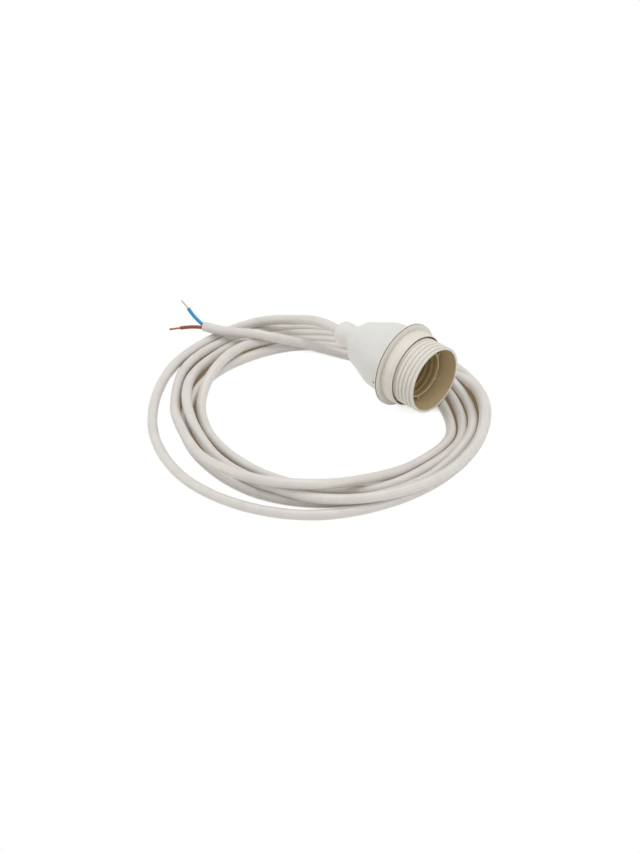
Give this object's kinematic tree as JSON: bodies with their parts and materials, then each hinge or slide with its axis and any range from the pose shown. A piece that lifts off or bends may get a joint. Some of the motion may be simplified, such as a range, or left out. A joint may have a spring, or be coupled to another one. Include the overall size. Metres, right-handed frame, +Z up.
{
  "type": "pendant cord set",
  "caption": "Pendant lamp cord set: a screw lamp holder with a turning shade ring, on round two-core flex laid in a loose coil that ends bare.",
  "frame": {"origin": "on the surface below the middle of the holder: bottom centre of the holder's box, without the cord", "axes": "+X along the holder's axis from the cord grip to the lamp mouth, +Z up, the cord's coil lies mostly on the -Y side"},
  "size_m": [0.2154, 0.1871, 0.05],
  "materials": {
    "white_plastic": "satin, cool white",
    "ivory_plastic": "satin, warm ivory",
    "insulator": "matt, off-white moulding",
    "ivory_sheath": "smooth satin sheath, slightly creased",
    "contact_brass": "stamped, lightly dulled",
    "plated_steel": "plated",
    "blue_insulation": "smooth, mid blue",
    "brown_insulation": "smooth, reddish brown",
    "copper_strands": "fine bare copper strands",
    "pale_copper_strands": "fine bare copper strands, pale"
  },
  "bodies": {
    "holder": {"skirt": "ivory_plastic", "screw_sleeve": "ivory_plastic", "dome": "white_plastic", "cord_grip_nut": "white_plastic", "cord_grip_collet": "white_plastic", "contact_carrier": "insulator", "centre_contact": "contact_brass", "side_contact": "contact_brass", "centre_contact_rivet": "contact_brass", "side_contact_rivet": "contact_brass", "centre_terminal": "contact_brass", "side_terminal": "contact_brass", "centre_terminal_screw": "plated_steel", "side_terminal_screw": "plated_steel", "carrier_screw_upper": "plated_steel", "carrier_screw_lower": "plated_steel", "inner_brown_core": "brown_insulation", "inner_brown_copper": "copper_strands", "inner_blue_core": "blue_insulation", "inner_blue_copper": "copper_strands", "cord": "ivory_sheath", "blue_core": "blue_insulation", "blue_core_copper": "pale_copper_strands", "brown_core": "brown_insulation", "brown_core_copper": "copper_strands"},
    "ring": {"shade_ring": "ivory_plastic"}
  },
  "joints": [
    {"name": "ring_turn", "type": "hinge", "parent": "holder", "child": "ring", "pos_m": [0.0173, 0, 0.025], "axis": [1, 0, 0], "continuous": true}
  ]
}
